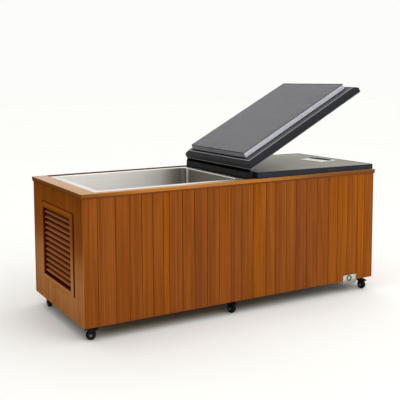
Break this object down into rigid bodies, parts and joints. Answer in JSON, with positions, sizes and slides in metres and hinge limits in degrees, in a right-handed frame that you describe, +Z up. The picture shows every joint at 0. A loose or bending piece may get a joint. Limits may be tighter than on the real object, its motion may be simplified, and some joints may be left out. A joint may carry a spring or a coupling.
{
  "type": "cold plunge tub",
  "caption": "Planked timber cabinet on casters with a stainless plunge basin at one end, a cooling bay at the other, a louvred end panel and a folding padded cover.",
  "frame": {"origin": "on the floor under the middle of the tub's overall box", "axes": "+X along the tub from the basin end to the cooling bay, +Y from the front planks to the back, +Z up"},
  "size_m": [1.942, 0.798, 1.2931],
  "materials": {
    "plank_wood": "oiled, satin",
    "rail_wood": "oiled, satin",
    "plywood": "raw",
    "stainless": "brushed",
    "cover_vinyl": "grained vinyl over foam",
    "strap_web": "woven webbing",
    "black_metal": "satin black",
    "caster_rubber": "matt",
    "black_plastic": "moulded",
    "white_plastic": "moulded",
    "foam": "rigid foam board",
    "fin_aluminium": "bare fins",
    "copper": "drawn tube"
  },
  "bodies": {
    "root": {"front_panel": "plank_wood", "back_panel": "plank_wood", "left_panel": "plank_wood", "right_panel": "plank_wood", "louvre_frame": "plank_wood", "louvre_slats": "plank_wood", "rim_front": "rail_wood", "rim_left": "rail_wood", "rim_back": "rail_wood", "rim_right": "rail_wood", "base_board": "plywood", "deck_board": "plywood", "partition": "plywood", "basin": "stainless", "basin_drain": "stainless", "drain_plate": "stainless", "drain_outlet": "stainless", "evaporator": "stainless", "return_jet": "black_plastic", "cord_gland": "black_plastic", "pump": "black_plastic", "fan_shroud": "black_metal", "compressor": "black_metal", "floor_insulation": "foam", "condenser": "fin_aluminium", "filter_canister": "white_plastic", "control_box": "white_plastic", "suction_pipe": "white_plastic", "return_pipe": "white_plastic", "drain_pipe": "white_plastic", "refrigerant_line": "copper", "hinge_spine": "cover_vinyl", "hinge_web": "cover_vinyl", "flat_pad": "cover_vinyl", "cover_handle": "strap_web", "caster_plate_fl": "black_metal", "caster_plate_fc": "black_metal", "caster_plate_fr": "black_metal", "caster_plate_bl": "black_metal", "caster_plate_bc": "black_metal", "caster_plate_br": "black_metal"},
    "lid": {"lid_pad": "cover_vinyl", "lid_plug": "cover_vinyl"},
    "fan": {"fan_rotor": "black_plastic"},
    "cock": {"drain_cock": "black_plastic"},
    "swivel_fl": {"caster_fork_fl": "black_metal"},
    "wheel_fl": {"caster_wheel_fl": "caster_rubber"},
    "pedal_fl": {"brake_pedal_fl": "black_plastic"},
    "swivel_fc": {"caster_fork_fc": "black_metal"},
    "wheel_fc": {"caster_wheel_fc": "caster_rubber"},
    "pedal_fc": {"brake_pedal_fc": "black_plastic"},
    "swivel_fr": {"caster_fork_fr": "black_metal"},
    "wheel_fr": {"caster_wheel_fr": "caster_rubber"},
    "pedal_fr": {"brake_pedal_fr": "black_plastic"},
    "swivel_bl": {"caster_fork_bl": "black_metal"},
    "wheel_bl": {"caster_wheel_bl": "caster_rubber"},
    "swivel_bc": {"caster_fork_bc": "black_metal"},
    "wheel_bc": {"caster_wheel_bc": "caster_rubber"},
    "swivel_br": {"caster_fork_br": "black_metal"},
    "wheel_br": {"caster_wheel_br": "caster_rubber"}
  },
  "joints": [
    {"name": "lid_fold", "type": "hinge", "parent": "root", "child": "lid", "pos_m": [0.044, 0, 0.809], "axis": [0, 1, 0], "range_deg": [-152, 28]},
    {"name": "fan_spin", "type": "hinge", "parent": "root", "child": "fan", "pos_m": [-0.8865, 0, 0.415], "axis": [1, 0, 0], "continuous": true},
    {"name": "drain_turn", "type": "hinge", "parent": "root", "child": "cock", "pos_m": [0.781, -0.378, 0.091], "axis": [0, -1, 0], "range_deg": [0, 90]},
    {"name": "swivel_fl", "type": "hinge", "parent": "root", "child": "swivel_fl", "pos_m": [-0.894, -0.353, 0.062], "axis": [0, 0, 1], "continuous": true},
    {"name": "roll_fl", "type": "hinge", "parent": "swivel_fl", "child": "wheel_fl", "pos_m": [-0.91254, -0.34551, 0.026], "axis": [-0.3746, -0.9272, 0], "continuous": true},
    {"name": "brake_fl", "type": "hinge", "parent": "swivel_fl", "child": "pedal_fl", "pos_m": [-0.91903, -0.34289, 0.059], "axis": [-0.3746, -0.9272, 0], "range_deg": [0, 12]},
    {"name": "swivel_fc", "type": "hinge", "parent": "root", "child": "swivel_fc", "pos_m": [-0.064, -0.329, 0.062], "axis": [0, 0, 1], "continuous": true},
    {"name": "roll_fc", "type": "hinge", "parent": "swivel_fc", "child": "wheel_fc", "pos_m": [-0.05984, -0.34856, 0.026], "axis": [0.9781, 0.2079, 0], "continuous": true},
    {"name": "brake_fc", "type": "hinge", "parent": "swivel_fc", "child": "pedal_fc", "pos_m": [-0.05839, -0.35541, 0.059], "axis": [0.9781, 0.2079, 0], "range_deg": [0, 12]},
    {"name": "swivel_fr", "type": "hinge", "parent": "root", "child": "swivel_fr", "pos_m": [0.905, -0.341, 0.062], "axis": [0, 0, 1], "continuous": true},
    {"name": "roll_fr", "type": "hinge", "parent": "swivel_fr", "child": "wheel_fr", "pos_m": [0.90916, -0.36056, 0.026], "axis": [0.9781, 0.2079, 0], "continuous": true},
    {"name": "brake_fr", "type": "hinge", "parent": "swivel_fr", "child": "pedal_fr", "pos_m": [0.91061, -0.36741, 0.059], "axis": [0.9781, 0.2079, 0], "range_deg": [0, 12]},
    {"name": "swivel_bl", "type": "hinge", "parent": "root", "child": "swivel_bl", "pos_m": [-0.916, 0.315, 0.062], "axis": [0, 0, 1], "continuous": true},
    {"name": "roll_bl", "type": "hinge", "parent": "swivel_bl", "child": "wheel_bl", "pos_m": [-0.9167, 0.29501, 0.026], "axis": [0.9994, -0.0349, 0], "continuous": true},
    {"name": "swivel_bc", "type": "hinge", "parent": "root", "child": "swivel_bc", "pos_m": [-0.064, 0.325, 0.062], "axis": [0, 0, 1], "continuous": true},
    {"name": "roll_bc", "type": "hinge", "parent": "swivel_bc", "child": "wheel_bc", "pos_m": [-0.05716, 0.30621, 0.026], "axis": [0.9397, 0.342, 0], "continuous": true},
    {"name": "swivel_br", "type": "hinge", "parent": "root", "child": "swivel_br", "pos_m": [0.905, 0.325, 0.062], "axis": [0, 0, 1], "continuous": true},
    {"name": "roll_br", "type": "hinge", "parent": "swivel_br", "child": "wheel_br", "pos_m": [0.91018, 0.30568, 0.026], "axis": [0.9659, 0.2588, 0], "continuous": true}
  ]
}
